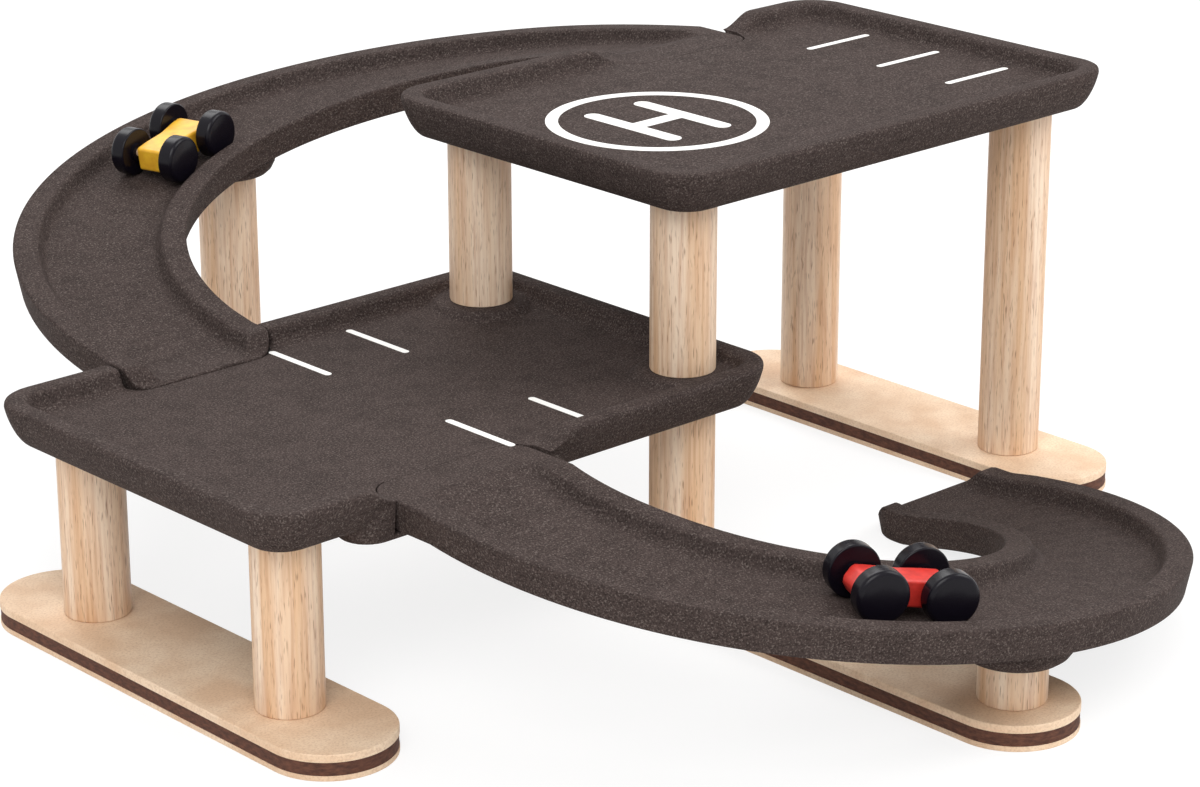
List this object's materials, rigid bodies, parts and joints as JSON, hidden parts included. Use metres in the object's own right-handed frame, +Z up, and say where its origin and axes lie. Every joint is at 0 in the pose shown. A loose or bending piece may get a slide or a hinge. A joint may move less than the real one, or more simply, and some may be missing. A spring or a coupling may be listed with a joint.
{
  "type": "toy parking garage with ramps",
  "caption": "Wooden toy parking garage: raised decks with rims on dowel posts, joined by half-turn channel ramps, on round-ended base plates, with small toy cars.",
  "frame": {"origin": "on the ground below the centre of the garage, at the middle of the long middle base plate's underside", "axes": "+Z up, +X from the lower deck towards the upper deck, +Y along the base plates from the lower ramp towards the upper ramp"},
  "size_m": [0.517, 0.62, 0.208],
  "materials": {
    "dark_composite": "moulded wood-fibre composite, dark brown-grey, matt, with fine pale specks",
    "pale_wood": "clear-coated pale hardwood, satin, grain along the dowel",
    "board_layer": "pale fibreboard, satin",
    "board_core": "dark brown fibreboard core, bare edge",
    "steel": "zinc-plated countersunk wood screws",
    "red_paint": "red painted wood, satin",
    "yellow_paint": "yellow painted wood, satin",
    "black_lacquer": "black lacquered wood, glossy"
  },
  "bodies": {
    "garage": {"lower_deck": "dark_composite", "upper_deck": "dark_composite", "lower_ramp": "dark_composite", "upper_ramp": "dark_composite", "left_front_post": "pale_wood", "left_back_post": "pale_wood", "middle_front_lower_post": "pale_wood", "middle_back_lower_post": "pale_wood", "middle_front_upper_post": "pale_wood", "middle_back_upper_post": "pale_wood", "right_front_tall_post": "pale_wood", "right_back_tall_post": "pale_wood", "front_ramp_post": "pale_wood", "back_ramp_post": "pale_wood", "left_front_pin": "pale_wood", "left_back_pin": "pale_wood", "middle_front_through_pin": "pale_wood", "middle_back_through_pin": "pale_wood", "middle_front_upper_pin": "pale_wood", "middle_back_upper_pin": "pale_wood", "right_front_pin": "pale_wood", "right_back_pin": "pale_wood", "front_ramp_pin": "pale_wood", "back_ramp_pin": "pale_wood", "left_plate_back": "board_layer", "left_plate_core": "board_core", "left_plate_face": "board_layer", "middle_plate_back": "board_layer", "middle_plate_core": "board_core", "middle_plate_face": "board_layer", "right_plate_back": "board_layer", "right_plate_core": "board_core", "right_plate_face": "board_layer", "left_front_screw": "steel", "left_back_screw": "steel", "middle_front_screw": "steel", "middle_back_screw": "steel", "right_front_screw": "steel", "right_back_screw": "steel", "front_ramp_post_screw": "steel", "back_ramp_post_screw": "steel"},
    "red_car": {"red_car_body": "red_paint"},
    "red_car_front_wheels": {"red_car_front_axle": "pale_wood", "red_car_front_left_wheel": "black_lacquer", "red_car_front_right_wheel": "black_lacquer"},
    "red_car_rear_wheels": {"red_car_rear_axle": "pale_wood", "red_car_rear_left_wheel": "black_lacquer", "red_car_rear_right_wheel": "black_lacquer"},
    "yellow_car": {"yellow_car_body": "yellow_paint"},
    "yellow_car_front_wheels": {"yellow_car_front_axle": "pale_wood", "yellow_car_front_left_wheel": "black_lacquer", "yellow_car_front_right_wheel": "black_lacquer"},
    "yellow_car_rear_wheels": {"yellow_car_rear_axle": "pale_wood", "yellow_car_rear_left_wheel": "black_lacquer", "yellow_car_rear_right_wheel": "black_lacquer"}
  },
  "joints": [
    {"name": "red_car_lift_off", "type": "slide", "parent": "garage", "child": "red_car", "axis": [0, 0, 1], "range_m": [0, 0.06]},
    {"name": "red_car_front_wheels_spin", "type": "hinge", "parent": "red_car", "child": "red_car_front_wheels", "pos_m": [-0.04438, -0.26291, 0.07397], "axis": [0.3987, 0.9171, 0], "continuous": true},
    {"name": "red_car_rear_wheels_spin", "type": "hinge", "parent": "red_car", "child": "red_car_rear_wheels", "pos_m": [-0.07263, -0.25062, 0.07951], "axis": [0.3987, 0.9171, 0], "continuous": true},
    {"name": "yellow_car_lift_off", "type": "slide", "parent": "garage", "child": "yellow_car", "axis": [0, 0, 1], "range_m": [0, 0.06]},
    {"name": "yellow_car_front_wheels_spin", "type": "hinge", "parent": "yellow_car", "child": "yellow_car_front_wheels", "pos_m": [-0.05647, 0.25116, 0.15138], "axis": [0.274, -0.9617, 0], "continuous": true},
    {"name": "yellow_car_rear_wheels_spin", "type": "hinge", "parent": "yellow_car", "child": "yellow_car_rear_wheels", "pos_m": [-0.02689, 0.25959, 0.15718], "axis": [0.274, -0.9617, 0], "continuous": true}
  ]
}
